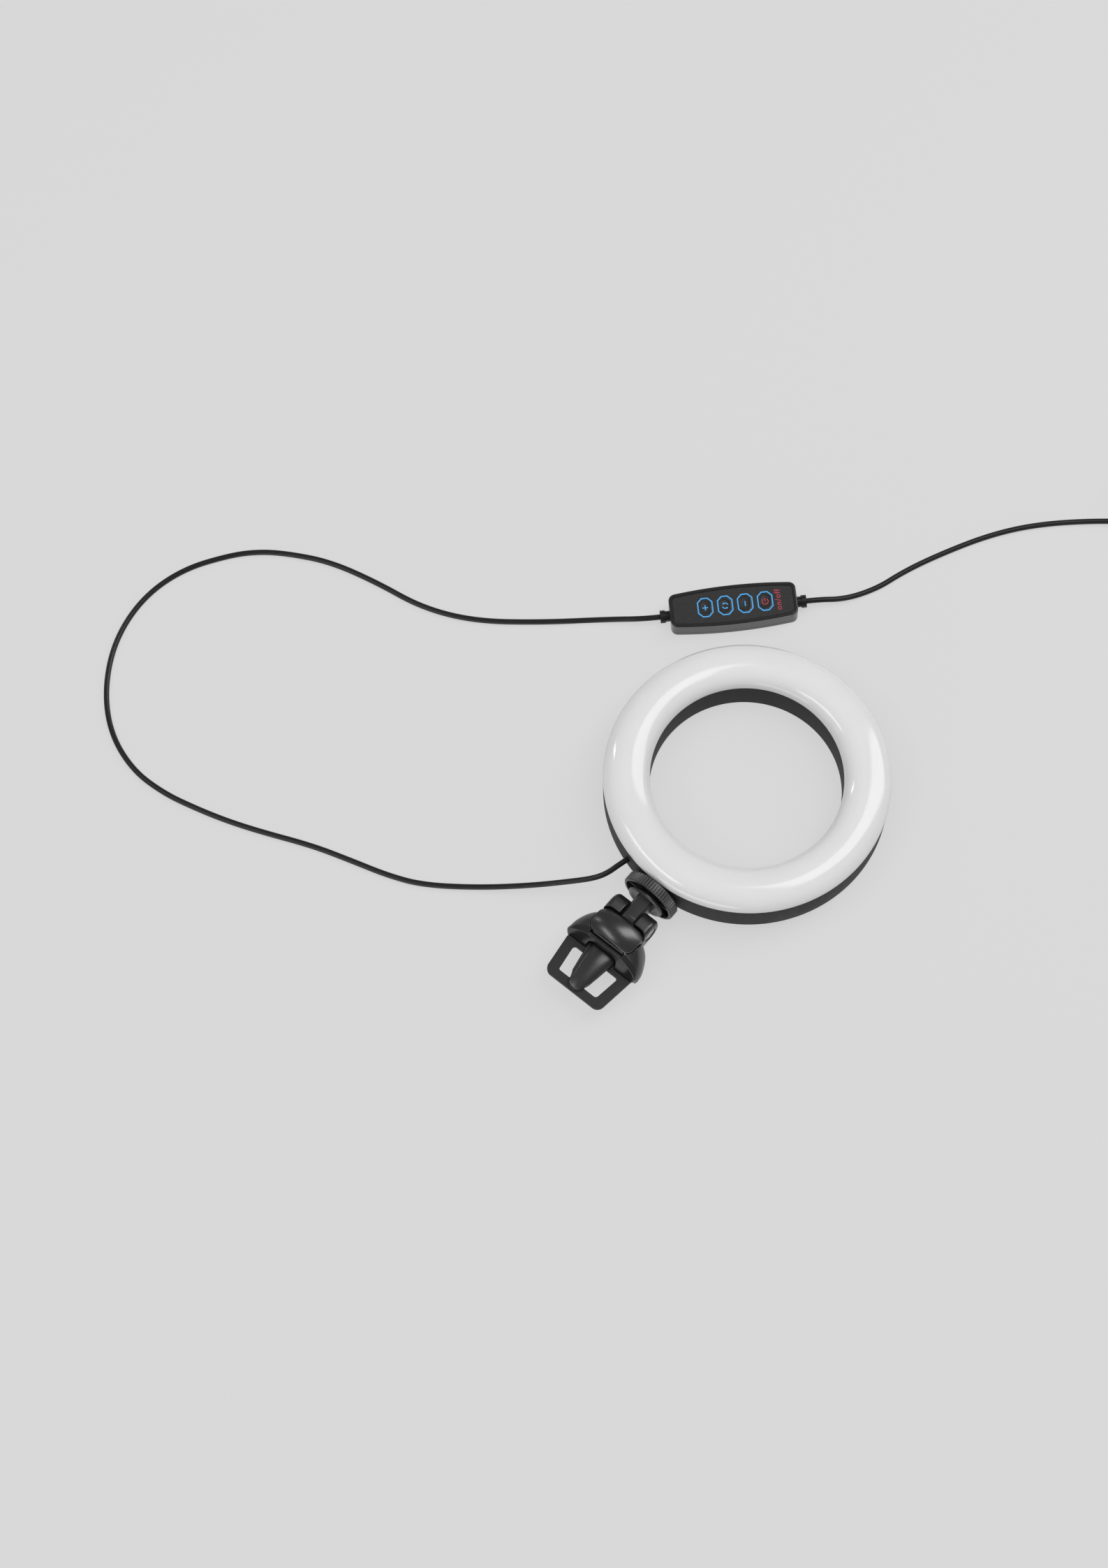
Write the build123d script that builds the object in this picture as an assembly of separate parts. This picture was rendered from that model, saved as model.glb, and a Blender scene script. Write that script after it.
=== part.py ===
from build123d import *
import math
import os

# A small ring light with a laptop clip, an in-line remote and a power lead, lying on its back.
# Millimetres. The light faces up, the clip points along -Y, and everything rests on the plane z = 0.

# Light ring, measured in its own frame: axis along +Z, back face at z = 0
ring_outer_r = 80.0
ring_width = 26.15         # from the hole to the outer edge
shell_height = 20.0
shell_lean = 0.45          # the outer wall leans in this much at the back
shell_wall = 1.6
shell_floor = 1.8
back_edge_r = 0.6
diffuser_rise = 8.5
diffuser_wall = 1.8
skirt_depth = 3.5          # lip of the diffuser inside the shell
skirt_thickness = 1.6
fit_gap = 0.1              # between pieces that are fitted together
board_z = 14.0
board_thickness = 1.6
board_edge_gap = 2.0
led_count = 64
led_size = 2.8
led_height = 0.8
led_row_gap = 9.0
screw_count = 4
screw_r = 1.45
screw_head_r = 2.8
screw_head_height = 1.8
screw_sink = 3.0           # depth of the recess that hides the head
screw_tip = 20.0           # height that the screw's tip reaches
boss_wall = 1.8
drive_width = 0.7          # cross recess in a screw's head
drive_depth = 0.8

# Stud joint between the ring and the neck, on an axis that points out along -Y
stud_z = 7.0               # height of the stud's axis above the back face
stud_r = 3.1
thread_gap = 0.05          # running fit of every turning fit
insert_r = 4.4
insert_length = 9.5
pad_r = 6.5
pad_rise = 0.3
washer_r = 7.5
washer_thickness = 0.6
wheel_r = 16.65
wheel_width = 6.3
wheel_rim = 1.3
wheel_web = 2.0
wheel_hub_r = 6.5
wheel_hub_sink = 0.9
wheel_round = 0.7
wheel_ribs = 60
rib_height = 0.5
spoke_count = 8
spoke_width = 0.8
wheel_travel = 0.9         # how far the wheel backs off along the thread
flange_r = 11.5
flange_thickness = 2.5
flange_gap = 0.2           # left between the wheel's hub and the flange when it is backed off

# Tilt hinge
pin_reach = 15.0           # from the wheel's outer face to the tilt pin
knuckle_r = 6.0
tongue_width = 10.0
tongue_chamfer = 1.5
hinge_gap = 0.25
ear_width = 9.2
ear_r = 8.0
ear_round = 2.6
bolt_r = 2.5
bolt_head_r = 4.2
bolt_head_height = 2.6
bolt_drive = 3.0           # width of the hexagonal recess
nut_flats = 8.0
nut_thickness = 3.6
bolt_sink = 0.6            # head and nut lie this deep in the ears

# Clip housing, in the clip's frame: x across, y up from the pin, z out from the pin
dome_base = -8.0
dome_wall = 1.8
dome_back = 5.6            # where the dome starts, out from the pin
dome_shape = 2.5           # power of the arched sections, 2 is an ellipse
dome_sections = (          # out from the pin, half width, height of the crown
    (dome_back, 14.4, 8.2),
    (8.5, 17.5, 10.2),
    (11.5, 20.2, 11.4),
    (16.0, 22.6, 10.8),
    (19.0, 23.8, 8.4),
    (21.5, 24.3, 6.2),
    (24.5, 24.5, 4.2),
    (28.0, 24.4, 2.4),
)
arch_points = 9
rim_out = 22.2             # where the slanted rim crosses the pin's height
rim_lean = 22.0            # degrees
rim_corner = 5.0           # rounds the mouth's two lower corners, seen from above
visor_thickness = 2.2
visor_top = 4.6
mouth_half_width = 10.0
mouth_top = 1.9
mouth_shape = 6.0
well_floor = 2.9           # the pad's well goes down to this height
pad_half_width = 14.6
pad_start = 4.9
pad_end = 19.8
pad_corner = 5.0
pad_crown = 13.0
pad_wall = 1.7
pad_bottom = 6.8
pad_root_room = 1.9        # the pad swings this much towards the ears
jaw_swing = 13.0           # degrees that the jaw opens
pad_across_r = 28.0        # curvature of the thumb pad across the clip
pad_along_r = 12.0         # and along it
pad_gap = 0.35
slot_half_width = 11.3

# Rear jaw: the flat frame plate
plate_thickness = 2.0
grip_thickness = 0.8       # rubber facing on the plate
plate_half_root = 22.3
plate_root = 24.5          # where the plate's straight sides start
grip_margin = 3.4          # from there to the rubber facing
plate_half_tip = 18.9
plate_tip = 51.0
plate_corner = 4.6
window_near = 29.5
window_far = 45.8
window_half_near = 15.6
window_half_far = 13.3
window_corner = 1.8
clip_screw_x = 18.3
clip_screw_out = 17.0
clip_screw_r = 1.0
clip_boss_r = 2.3
clip_screw_length = 10.0
clip_screw_head_r = 1.9
clip_screw_head = 1.1

# Front jaw: the tongue, on a lever behind the visor
pivot_out = 18.3
pivot_up = 3.2
pivot_pin_r = 1.0
barrel_r = 2.0
barrel_half = 10.9
pivot_boss_half = 13.6
tongue_base = -3.7
tongue_shape = 2.2
tongue_sections = (        # out from the pin, half width, height of the crown
    (23.0, 9.3, 0.0),
    (27.0, 8.8, 0.7),
    (34.0, 7.8, 0.6),
    (42.0, 6.5, -0.4),
    (47.5, 5.6, -1.6),
    (50.0, 5.1, -2.6),
)
tongue_root = 21.5
pad_post_r = 1.8            # posts under the thumb pad
pad_post_x = 6.5
jaw_grip_thickness = 1.2
jaw_grip_margin = 0.5
grip_root = 26.0
lever_thickness = 1.4
lever_start = 9.0
web_thickness = 2.6
web_half_width = 7.0
web_drop = 1.3              # the web meets the tongue this far under its crown
spring_out = 11.5
spring_r = 3.0
spring_wire = 0.7
spring_turns = 7

# In-line remote, in its own frame: x along the lead, y across, z up from the plane
remote_length = 72.6
remote_half_end = 9.7
remote_half_mid = 12.0
remote_corner = 4.0
remote_height = 12.5
remote_split = 3.2
remote_wall = 1.4
remote_roof = 1.2
remote_gap = 0.2
rim_width = 1.9
face_sink = 0.5
face_thickness = 0.6
key_xs = (-16.0, -4.6, 6.8, 18.2)
key_length = 6.9
key_width = 9.9
key_cut = 2.1              # length of the octagon's cut corners
key_gap = 0.25
key_travel = 0.4
key_slack = 0.1            # above the key's flange, and under it past the travel
key_dish = 0.6
key_dish_margin = 0.8
key_rise = 0.1
key_stem_r = 1.2
key_flange = 0.8           # width of the flange that holds the key in
key_flange_thickness = 0.6
switch_size = 4.5
switch_height = 2.2
board_up = 5.4
relief_z = 5.15
relief_neck_r = 3.1
relief_neck = 2.6
relief_collar_r = 3.7
relief_collar = 2.9
relief_flange = 1.2
remote_edge_r = 0.7
remote_board_thickness = 1.2
remote_screw_x = 27.5
remote_screw_r = 0.9
remote_screw_head_r = 1.7
remote_screw_head = 1.0
remote_screw_sink = 2.0
remote_screw_tip = 9.5
remote_boss_r = 2.6
remote_x = -73.6
remote_y = 117.3
remote_turn = 45.4         # degrees

# Lead
cord_r = 1.6
lie = cord_r + 0.05        # centre height of a cord that lies on the plane
exit_turn = 16.6           # degrees from the clip's axis to the ring's cord hole
exit_z = 9.5
hole_gap = 0.2
clamp_size = 6.0
clamp_length = 5.0

# Coil of the lead's unseen length, one winding in two layers, held by a tie
coil_r = 21.2
coil_pitch = 2 * cord_r + 0.9
coil_turns_in = 2
tie_thickness = 0.7
tie_width = 4.0
tie_gap = 0.35
coil_x = 82.0
coil_y = 313.0
coil_turn = 41.0           # degrees, the direction in which the lead enters

# Power plug
plug_length = 24.0
plug_width = 15.6
plug_height = 8.0
plug_round = 2.2
plug_neck_r = 3.0
plug_neck = 9.0
shell_tube_length = 14.0
shell_tube_width = 12.0
shell_tube_height = 4.5
shell_tube_wall = 0.35
plug_tongue_height = 1.9
contact_count = 4
contact_pitch = 2.2
contact_width = 1.1
contact_height = 0.15

parts = {}


def turned(corners):
    """A turned solid from its outline, given as (radius, height) corners."""
    outline = Plane.XZ * Polyline(*corners, close=True)
    return revolve(make_face(outline.edges()), Axis.Z, 360)


def around(count, first=0.0):
    """The turns, in degrees, of a full circle of equal steps."""
    return [first + 360 * i / count for i in range(count)]


def tube(outer, inner, low, high):
    """A plain ring between two radii and two heights."""
    return Pos(0, 0, low) * (
        Cylinder(outer, high - low, align=(Align.CENTER, Align.CENTER, Align.MIN))
        - Cylinder(inner, high - low, align=(Align.CENTER, Align.CENTER, Align.MIN))
    )


def post(radius, low, high):
    """An upright cylinder between two heights."""
    return Pos(0, 0, low) * Cylinder(radius, high - low, align=(Align.CENTER, Align.CENTER, Align.MIN))


beyond = 60.0              # reach of a cutting block that passes right through a piece


def block(x, y, z):
    """A box given by its lowest and highest values along each axis."""
    size = (x[1] - x[0], y[1] - y[0], z[1] - z[0])
    return Pos((x[0] + x[1]) / 2, (y[0] + y[1]) / 2, (z[0] + z[1]) / 2) * Box(*size)


# Ring head

ring_inner_r = ring_outer_r - ring_width
ring_mid_r = (ring_outer_r + ring_inner_r) / 2
shell_inner_r = ring_inner_r + shell_wall
shell_outer_r = ring_outer_r - shell_wall
screw_spots = [Rot(0, 0, turn) * Pos(ring_mid_r, 0, 0) for turn in around(screw_count, 45)]
screw_boss_r = screw_head_r + boss_wall
insert_start = ring_outer_r - shell_wall - insert_length + 1.0
outward = Location((0, 0, stud_z), (90, 0, 0))     # local z runs out along the stud's axis
exit_way = Rot(0, 0, -exit_turn) * Location((0, 0, exit_z), (90, 0, 0))
clamp_out = ring_outer_r - shell_lean - shell_wall - fit_gap


def make_back_shell():
    """Open channel of black plastic with screw bosses, the insert's housing and the stud's pad."""
    shell = turned([
        (ring_inner_r, 0), (ring_outer_r - shell_lean, 0), (ring_outer_r, shell_height),
        (shell_outer_r, shell_height), (shell_outer_r - shell_lean, shell_floor),
        (shell_inner_r, shell_floor), (shell_inner_r, shell_height), (ring_inner_r, shell_height),
    ])
    shell = fillet(shell.edges().group_by(Axis.Z)[0], back_edge_r)
    for spot in screw_spots:
        shell += spot * post(screw_boss_r, shell_floor / 2, board_z - fit_gap)
    housing_half = insert_r + boss_wall
    housing = block(
        (-housing_half, housing_half),
        (-(ring_outer_r - shell_wall / 2), -(insert_start - boss_wall)),
        (shell_floor / 2, board_z - fit_gap),
    )
    shell += housing & post(shell_outer_r, 0, shell_height)
    shell += outward * post(pad_r, ring_outer_r - shell_wall, ring_outer_r + pad_rise)
    for spot in screw_spots:
        shell -= spot * post(screw_r + fit_gap, -1, shell_height)
        shell -= spot * post(screw_head_r + fit_gap, -1, screw_sink)
    shell -= outward * post(insert_r, insert_start, insert_start + insert_length)
    shell -= outward * post(stud_r + hole_gap, insert_start, ring_outer_r + pad_rise + 1)
    shell -= exit_way * post(cord_r + hole_gap, ring_outer_r - 2 * shell_wall, ring_outer_r + 1)
    return shell


def crown_ring(half_width, rise):
    """Half an ellipse over the shell's mouth, turned about the ring's axis."""
    top = EllipticalCenterArc((ring_mid_r, shell_height), half_width, rise, 0, arc_size=180)
    outline = Plane.XZ * (top + Line(top @ 1, top @ 0))
    return revolve(make_face(outline.edges()), Axis.Z, 360)


def make_diffuser():
    """Milky cap over the lamps: half an ellipse turned about the ring's axis, hollow, with posts."""
    half = ring_mid_r - ring_inner_r
    side = shell_wall + shell_lean + fit_gap + skirt_thickness
    cap = crown_ring(half, diffuser_rise) - crown_ring(half - side, diffuser_rise - diffuser_wall)
    low = shell_height - skirt_depth
    cap += tube(shell_outer_r - shell_lean - fit_gap, shell_outer_r - shell_lean - skirt_thickness - fit_gap,
                low, shell_height + diffuser_wall / 2)
    cap += tube(shell_inner_r + skirt_thickness + fit_gap, shell_inner_r + fit_gap,
                low, shell_height + diffuser_wall / 2)
    for spot in screw_spots:
        cap += spot * post(screw_r + boss_wall, board_z + board_thickness, shell_height + diffuser_rise - 1)
    for spot in screw_spots:
        cap -= spot * post(screw_r + thread_gap, board_z, screw_tip + fit_gap)
    return cap


def make_led_board():
    """Flat ring that carries the lamps, clamped between the bosses and the posts."""
    board = tube(shell_outer_r - board_edge_gap - shell_lean, shell_inner_r + board_edge_gap,
                 board_z, board_z + board_thickness)
    for spot in screw_spots:
        board -= spot * post(screw_r + hole_gap, board_z - 1, board_z + board_thickness + 1)
    return board


def make_leds():
    """Small square lamps in two rows round the board."""
    lamps = []
    for row, radius in enumerate((ring_mid_r - led_row_gap / 2, ring_mid_r + led_row_gap / 2)):
        for turn in around(led_count // 2, 180 / led_count * (2 * row + 1)):
            lamp = Box(led_size, led_size, led_height, align=(Align.CENTER, Align.CENTER, Align.MIN))
            lamps.append(Rot(0, 0, turn) * Pos(radius, 0, board_z + board_thickness) * lamp)
    return lamps


def make_back_screws():
    """Pan-head screws that go in from the back and hold the diffuser."""
    head = post(screw_head_r, screw_sink - screw_head_height, screw_sink)
    head_top = screw_sink - screw_head_height
    half = drive_width / 2
    slot = block((-screw_r, screw_r), (-half, half), (head_top, head_top + drive_depth))
    screw = head + post(screw_r, screw_sink, screw_tip) - slot - Rot(0, 0, 90) * slot
    return [spot * screw for spot in screw_spots]


# Stud joint

pad_face = ring_outer_r + pad_rise                  # distances along the stud's axis from the ring's axis
wheel_face = pad_face + washer_thickness
wheel_end = wheel_face + wheel_width
hub_end = wheel_end - wheel_hub_sink
flange_face = hub_end + wheel_travel + flange_gap
flange_end = flange_face + flange_thickness
pin_out = wheel_end + pin_reach
stud_end = flange_end + knuckle_r / 2
at_pin = outward * Location((0, 0, pin_out))         # the clip's frame: x across, y up, z out from the pin


def make_cord_clamp():
    """Block inside the shell that grips the lead's end."""
    half = clamp_size / 2
    grip = block((-half, half), (-half, half), (clamp_out - clamp_length, clamp_out))
    foot_low = shell_floor - exit_z + fit_gap
    foot = block((-half, half), (foot_low, -half), (clamp_out - clamp_length, clamp_out))
    keep = post(shell_outer_r - shell_lean - fit_gap, shell_floor, board_z)
    return (exit_way * (grip + foot)) & keep


def make_threaded_insert():
    """Brass sleeve pressed into the ring's housing, which the neck's stud screws into."""
    sleeve = tube(insert_r - thread_gap, stud_r + thread_gap, insert_start, insert_start + insert_length)
    return outward * sleeve


def make_wheel_washer():
    """Thin washer that rides with the thumbwheel and presses on the ring's pad."""
    return outward * tube(washer_r, stud_r + hole_gap, pad_face, wheel_face - fit_gap)


def make_thumbwheel():
    """Ribbed lock wheel: a web with a hub, a rim and thin spokes, open on the clip's side."""
    root_r = wheel_r - rib_height
    star = []
    for i in range(wheel_ribs):
        for share, radius in ((0.0, root_r), (0.22, root_r), (0.4, wheel_r), (0.78, wheel_r)):
            turn = 2 * math.pi * (i + share) / wheel_ribs
            star.append((radius * math.cos(turn), radius * math.sin(turn)))
    wheel = Pos(0, 0, wheel_face) * extrude(make_face(Polyline(*star, close=True).edges()), wheel_width)
    wheel &= turned([
        (0, wheel_face), (wheel_r - wheel_round, wheel_face), (wheel_r, wheel_face + wheel_round),
        (wheel_r, wheel_end - wheel_round), (wheel_r - wheel_round, wheel_end), (0, wheel_end),
    ])
    hollow_r = root_r - wheel_rim
    wheel -= post(hollow_r, wheel_face + wheel_web, wheel_end + 1)
    wheel += post(wheel_hub_r, wheel_face, hub_end)
    for turn in around(spoke_count):
        arm = block((0, hollow_r + wheel_rim / 2), (-spoke_width / 2, spoke_width / 2),
                    (wheel_face + wheel_web / 2, hub_end - wheel_hub_sink))
        wheel += Rot(0, 0, turn) * arm
    wheel -= post(stud_r + thread_gap, wheel_face - 1, wheel_end + 1)
    return outward * wheel


def make_stud():
    """Steel stud moulded into the hinge tongue and screwed into the ring's insert."""
    return outward * post(stud_r, insert_start + 1.0, stud_end)


def make_hinge_tongue():
    """Flange with a dished outer side, and a chamfered tongue that ends in the tilt knuckle."""
    flange = turned([
        (0, flange_face), (flange_r - 0.8, flange_face), (flange_r, flange_face + 0.8),
        (flange_r, flange_end - 0.6), (flange_r - 0.6, flange_end), (flange_r - 1.8, flange_end),
        (flange_r - 3.0, flange_end - 0.8), (0, flange_end - 0.8),
    ])
    side = Pos(0, pin_out) * Circle(knuckle_r)
    side += Pos(0, (flange_face + pin_out) / 2) * Rectangle(2 * knuckle_r, pin_out - flange_face - 1.0)
    tongue = extrude(Plane.YZ * side, tongue_width / 2, both=True)
    tongue = chamfer(tongue.faces().filter_by(Axis.X).edges(), tongue_chamfer)
    neck = flange + tongue
    neck -= post(stud_r + thread_gap, flange_face - 1, stud_end + fit_gap)
    neck -= Pos(0, 0, pin_out) * Rot(0, 90, 0) * Cylinder(bolt_r + thread_gap, 2 * tongue_width)
    return outward * neck


# Clip housing, drawn in the clip's frame

def plan(sketch, low, high):
    """A solid with the given outline, drawn as (across, out), between two heights."""
    return extrude(Plane.XZ.offset(-low) * sketch, -(high - low))


def arch(half_width, crown, base, out, shape):
    """An arched section across the clip at the distance out: flat base, rounded top."""
    top = []
    for i in range(arch_points):
        turn = math.pi * i / (arch_points - 1)
        across = math.copysign(abs(math.cos(turn)) ** (2 / shape), math.cos(turn))
        top.append((half_width * across, base + (crown - base) * math.sin(turn) ** (2 / shape)))
    curve = Spline(*top, tangents=((0, 1), (0, -1)))
    return Pos(0, 0, out) * make_face((curve + Line(curve @ 1, curve @ 0)).edges())


def dome(inset, base):
    """The bell-shaped body of the housing, or its inside when inset is the wall."""
    return loft([
        arch(half_width - inset, crown - inset, base, out + inset * (out == dome_back), dome_shape)
        for out, half_width, crown in dome_sections
    ])


def beyond_rim(offset):
    """Everything in front of the slanted rim plane, moved out by the offset."""
    outside = block((-beyond, beyond), (-beyond, beyond), (0, beyond))
    return Pos(0, 0, rim_out) * Rot(-rim_lean, 0, 0) * Pos(0, 0, offset) * outside


def rim_corners():
    """A tall block with rounded front corners that the housing and the visor stay inside."""
    half_width = max(half for out, half, crown in dome_sections) + fit_gap
    front = rim_out - dome_base * math.tan(math.radians(rim_lean)) + visor_thickness
    sheet = Pos(0, front - beyond) * RectangleRounded(2 * half_width, 2 * beyond, rim_corner)
    return plan(sheet, -beyond, beyond)


def cushion(inset):
    """Barrel-shaped solid whose top is the thumb pad's crowned surface, less the inset."""
    mid = (pad_start + pad_end) / 2
    axis_up = pad_crown - pad_across_r
    profile = Pos(pad_across_r - pad_along_r, mid) * Circle(pad_along_r - inset)
    barrel = revolve(Plane.YZ * profile, Axis.Z, 360)
    return Pos(0, axis_up, 0) * barrel


def pad_outline(grow, root_room=0.0):
    """Rounded outline of the thumb pad, grown all round and further towards the ears."""
    start = pad_start - grow - root_room
    end = pad_end + grow
    width = 2 * (pad_half_width + grow)
    return Pos(0, (start + end) / 2) * RectangleRounded(width, end - start, pad_corner + grow)


def mirrored(solid):
    """The solid and its mirror image across the clip's middle plane, as one."""
    return solid + mirror(solid, Plane.YZ)


def symmetric(solid):
    """The solid's right half and its mirror image, so that both sides of the clip are alike."""
    return mirrored(solid & block((0, beyond), (-beyond, beyond), (-beyond, beyond)))


ear_inner = tongue_width / 2 + hinge_gap
ear_outer = ear_inner + ear_width
head_start = ear_outer - bolt_sink
nut_start = ear_outer - nut_thickness - bolt_sink
cavity_back = dome_back + dome_wall
pad_well = plan(pad_outline(pad_gap, pad_root_room - pad_gap), well_floor, pad_crown + 5)
clip_screw_spots = [Location((side * clip_screw_x, 0, clip_screw_out), (-90, 0, 0)) for side in (-1, 1)]


def make_ears():
    """Fork of two rounded ears round the tilt knuckle."""
    back = ThreePointArc((ear_r, 0), (0, -ear_r), (-ear_r, 0))
    side = back + Polyline((-ear_r, 0), (-ear_r, cavity_back), (ear_r, cavity_back), (ear_r, 0))
    ear = Pos(ear_inner, 0, 0) * extrude(Plane.YZ * make_face(side.edges()), ear_width)
    outer_face = ear.faces().sort_by(Axis.X)[-1]
    edges = outer_face.edges().sort_by(Axis.Z)[:-1]
    return mirrored(fillet(edges, ear_round))


def make_clip_housing():
    """One moulding: the bell-shaped dome, open below and in front, with the fork's ears behind."""
    room = dome(dome_wall, dome_base - 1)
    housing = dome(0, dome_base) - room
    bracket = block(
        (barrel_half + fit_gap, 2 * pivot_boss_half),
        (pivot_up - barrel_r - 1, pivot_up + barrel_r),
        (pivot_out - barrel_r - 0.5, pivot_out + barrel_r),
    )
    housing += mirrored(bracket & dome(0, dome_base))
    for spot in clip_screw_spots:
        column = spot * post(clip_boss_r, -beyond, beyond)
        column &= dome(dome_wall / 2, dome_base + plate_thickness + fit_gap)
        housing += column
    housing -= pad_well
    housing -= block((-slot_half_width, slot_half_width), (well_floor, beyond), (pad_end - 2, beyond))
    housing += make_ears() - pad_well
    housing -= block((-ear_inner, ear_inner), (-beyond, beyond), (-ear_r - 1, dome_back))
    housing -= Rot(0, 90, 0) * Cylinder(knuckle_r + 2 * hinge_gap, 2 * ear_inner)
    housing -= beyond_rim(0)
    housing = symmetric(housing & rim_corners())
    housing -= Rot(0, 90, 0) * Cylinder(bolt_r + thread_gap, 4 * ear_outer)
    housing -= Rot(0, -90, 0) * post(bolt_head_r + fit_gap, head_start - bolt_head_height, ear_outer + 1)
    housing -= nut_shape(fit_gap, nut_start, ear_outer + 1)
    pin_bore = Rot(0, 90, 0) * Cylinder(pivot_pin_r + thread_gap, 2 * pivot_boss_half)
    housing -= Pos(0, pivot_up, pivot_out) * pin_bore
    for spot in clip_screw_spots:
        housing -= spot * post(clip_screw_r + thread_gap, dome_base, dome_base + clip_screw_length)
    return housing


def nut_shape(grow, low, high):
    """Hexagon across the clip between two distances from its middle."""
    hexagon = RegularPolygon(nut_flats / 2 + grow, 6, major_radius=False)
    return Pos(low, 0, 0) * extrude(Plane.YZ * hexagon, high - low)


def make_tilt_bolt():
    """Bolt that the clip tilts on, with its head in the left ear."""
    bolt = Rot(0, 90, 0) * post(bolt_r, -head_start, head_start)
    head = Rot(0, -90, 0) * post(bolt_head_r, head_start - bolt_head_height, head_start)
    drive = Rot(0, -90, 0) * Pos(0, 0, head_start - bolt_head_height / 2)
    drive *= extrude(RegularPolygon(bolt_drive / 2, 6, major_radius=False), bolt_head_height)
    return bolt + head - drive


def make_tilt_nut():
    """Nut held in the right ear's hexagonal pocket."""
    nut = nut_shape(0, nut_start + fit_gap / 2, nut_start + nut_thickness)
    return nut - Rot(0, 90, 0) * Cylinder(bolt_r + thread_gap, 4 * ear_outer)


def make_front_visor():
    """Slanted cover over the dome's mouth, with an opening for the tongue and a notch for the slot."""
    visor = dome(0, dome_base + plate_thickness + fit_gap) & beyond_rim(fit_gap)
    visor -= beyond_rim(visor_thickness)
    visor -= block((-slot_half_width, slot_half_width), (visor_top, beyond), (0, beyond))
    mouth = arch(mouth_half_width, mouth_top, dome_base - 1, 0, mouth_shape)
    return symmetric((visor - extrude(mouth, beyond)) & rim_corners())


def plate_outline():
    """Outline of the rear jaw: inside the dome's walls at the root, tapered to rounded corners."""
    side = [
        (half_width - dome_wall - fit_gap, max(out, cavity_back + fit_gap))
        for out, half_width, crown in dome_sections if half_width - dome_wall < plate_half_root
    ]
    side.append((plate_half_root - fit_gap, plate_root))
    outline = side + [(plate_half_tip, plate_tip), (-plate_half_tip, plate_tip)]
    outline += [(-across, out) for across, out in reversed(side)]
    sheet = make_face(Polyline(*outline, close=True).edges())
    tips = sheet.vertices().sort_by(Axis.Y)[-2:]
    return fillet(tips, plate_corner)


def window_outline():
    """Outline of the plate's window."""
    corners = [
        (window_half_near, window_near), (window_half_far, window_far),
        (-window_half_far, window_far), (-window_half_near, window_near),
    ]
    sheet = make_face(Polyline(*corners, close=True).edges())
    return fillet(sheet.vertices(), window_corner)


def make_jaw_plate():
    """Flat plate with a window that closes the dome's base and is the rear jaw."""
    top = dome_base + plate_thickness
    plate = plan(plate_outline() - window_outline(), dome_base, top)
    for spot in clip_screw_spots:
        plate -= spot * post(clip_screw_r + hole_gap, dome_base - 1, top + 1)
        plate -= spot * post(clip_screw_head_r + hole_gap, dome_base - 1, dome_base + clip_screw_head)
    return plate


def make_clip_screws():
    """Two small screws that hold the plate to the dome."""
    head = post(clip_screw_head_r, dome_base, dome_base + clip_screw_head)
    drive = block((-1.3, 1.3), (-0.3, 0.3), (dome_base - 1, dome_base + clip_screw_head / 2))
    screw = head + post(clip_screw_r, dome_base, dome_base + clip_screw_length) - drive
    return [spot * screw for spot in clip_screw_spots]


def make_plate_grip():
    """Rubber facing on the plate in front of the dome."""
    low = dome_base + plate_thickness
    sheet = plate_outline() - window_outline()
    start = plate_root + grip_margin
    sheet &= Pos(0, start + plate_tip / 2) * Rectangle(4 * plate_half_root, plate_tip)
    return plan(sheet, low, low + grip_thickness)


def make_pivot_pin():
    """Steel pin that the lever turns on, pressed into the dome's bosses."""
    return Pos(0, pivot_up, pivot_out) * Rot(0, 90, 0) * Cylinder(pivot_pin_r, 2 * pivot_boss_half - fit_gap)


def tongue_outline(inset):
    """Outline of the tongue with its round tip."""
    far = tongue_sections[-1][0] - inset
    half = tongue_sections[-1][1]
    sheet = Pos(0, far - half) * Circle(half)
    corners = [(half_width, out) for out, half_width, crown in tongue_sections]
    corners = [(across - inset, min(out, far - half)) for across, out in corners if out < far - half]
    corners = [(corners[0][0], tongue_root)] + corners
    corners.append((half, far - half))
    corners += [(-across, out) for across, out in reversed(corners)]
    return sheet + make_face(Polyline(*corners, close=True).edges())


def make_front_jaw():
    """Tapered tongue, its web through the visor, the barrel on the pin and the lever under the pad."""
    tongue = loft([
        arch(half_width, crown, tongue_base, out, tongue_shape) for out, half_width, crown in tongue_sections
    ])
    tongue &= plan(tongue_outline(0), tongue_base, pivot_up + barrel_r)
    front = tongue_sections[0][0] + fit_gap
    brow = tongue_sections[0][2] - web_drop
    knee = pivot_out + barrel_r
    side = Polyline(
        (pivot_up, knee), (brow, knee), (brow, front), (tongue_base, front),
        (tongue_base, knee - web_thickness), (pivot_up, knee - web_thickness - 1.0), close=True)
    web = extrude(Plane.YZ * make_face(side.edges()), web_half_width, both=True)
    barrel = Pos(0, pivot_up, pivot_out) * Rot(0, 90, 0) * Cylinder(barrel_r, 2 * barrel_half)
    lever_top = pad_bottom - fit_gap / 2
    lever_low = lever_top - lever_thickness
    lever = block((-barrel_half, barrel_half), (lever_low, lever_top), (lever_start, pivot_out))
    lever += block((-barrel_half, barrel_half), (pivot_up, lever_top), (pivot_out - barrel_r, pivot_out))
    jaw = tongue + web + barrel + lever
    pin_bore = Rot(0, 90, 0) * Cylinder(pivot_pin_r + thread_gap, 3 * barrel_half)
    return jaw - Pos(0, pivot_up, pivot_out) * pin_bore


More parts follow.
